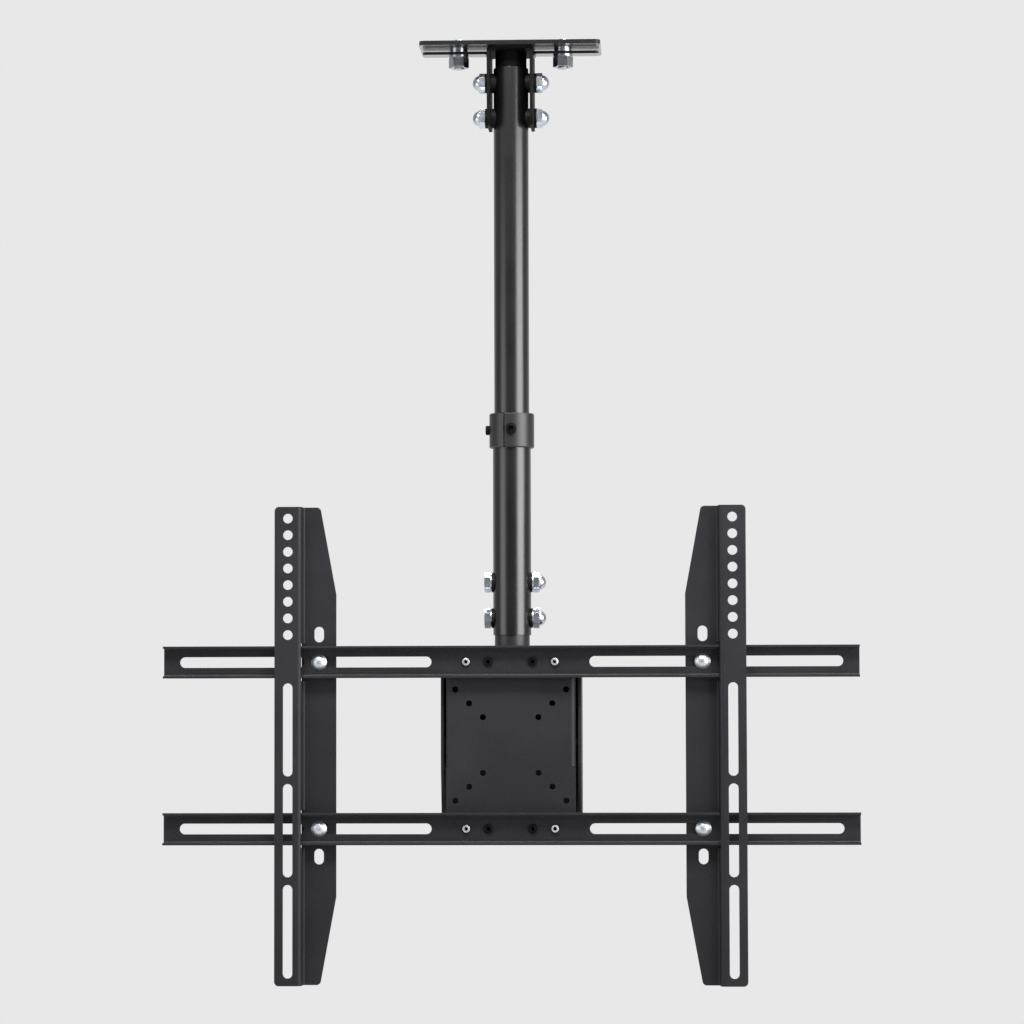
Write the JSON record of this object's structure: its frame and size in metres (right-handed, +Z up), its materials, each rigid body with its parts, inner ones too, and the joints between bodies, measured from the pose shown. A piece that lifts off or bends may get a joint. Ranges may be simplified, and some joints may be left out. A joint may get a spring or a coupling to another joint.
{
  "type": "tv ceiling mount",
  "caption": "Ceiling plate with a telescopic pole, a tilting head plate with hole patterns, and slotted rails that carry sliding arms for a flat screen.",
  "frame": {"origin": "on the ceiling plane, at the pole's axis, midway between the anchor studs", "axes": "+Z up, the screen hangs at -Y, +X to the right for someone who faces the screen side"},
  "size_m": [0.627, 0.086, 0.863],
  "materials": {
    "powder_black": "fine black powder coat",
    "tube_black": "satin black paint",
    "zinc": "bright zinc plating",
    "black_steel": "black oxide",
    "nylon": "moulded, matte"
  },
  "bodies": {
    "ceiling_bracket": {"ceiling_plate": "powder_black", "clevis_wings": "powder_black", "anchor_studs": "zinc", "anchor_spacers": "zinc", "anchor_washers": "zinc", "anchor_nuts": "zinc", "pole_clevis": "powder_black", "top_spigot": "tube_black", "upper_tube": "tube_black", "clevis_spacers": "nylon", "clevis_studs": "zinc", "clevis_washers": "black_steel", "clevis_cap_nuts": "zinc"},
    "slide_bush": {"guide_bush": "nylon"},
    "lower_pole": {"lower_tube": "tube_black", "collar": "tube_black", "collar_screws": "black_steel", "lower_spigot": "tube_black", "spigot_weld": "powder_black", "pole_saddles": "nylon", "pole_washers": "zinc", "pole_bolts": "zinc", "pole_cap_nuts": "zinc", "tilt_yoke": "powder_black", "pivot_studs": "zinc", "pivot_washers": "zinc", "pivot_nuts": "zinc", "lock_studs": "zinc", "lock_washers": "zinc", "lock_nuts": "zinc"},
    "tilt_head": {"head_plate": "powder_black", "friction_washers": "nylon", "upper_rail": "powder_black", "lower_rail": "powder_black", "rail_screws": "zinc", "rail_inner_screws": "black_steel", "rail_nuts": "zinc"},
    "left_arm": {"left_arm": "powder_black", "left_arm_bolts": "zinc", "left_arm_washers": "zinc", "left_arm_nuts": "zinc"},
    "right_arm": {"right_arm": "powder_black", "right_arm_bolts": "zinc", "right_arm_washers": "zinc", "right_arm_nuts": "zinc"}
  },
  "joints": [
    {"name": "height_slide", "type": "slide", "parent": "ceiling_bracket", "child": "slide_bush", "axis": [0, 0, 1], "range_m": [-0.035, 0.045]},
    {"name": "pole_swivel", "type": "hinge", "parent": "slide_bush", "child": "lower_pole", "pos_m": [0, 0, -0.345], "axis": [0, 0, 1], "continuous": true},
    {"name": "head_tilt", "type": "hinge", "parent": "lower_pole", "child": "tilt_head", "pos_m": [0, -0.016, -0.642], "axis": [1, 0, 0], "range_deg": [-5, 15]},
    {"name": "left_arm_slide", "type": "slide", "parent": "tilt_head", "child": "left_arm", "axis": [1, 0, 0], "range_m": [-0.0005, 0.084]},
    {"name": "right_arm_slide", "type": "slide", "parent": "tilt_head", "child": "right_arm", "axis": [-1, 0, 0], "range_m": [-0.0005, 0.084]}
  ]
}
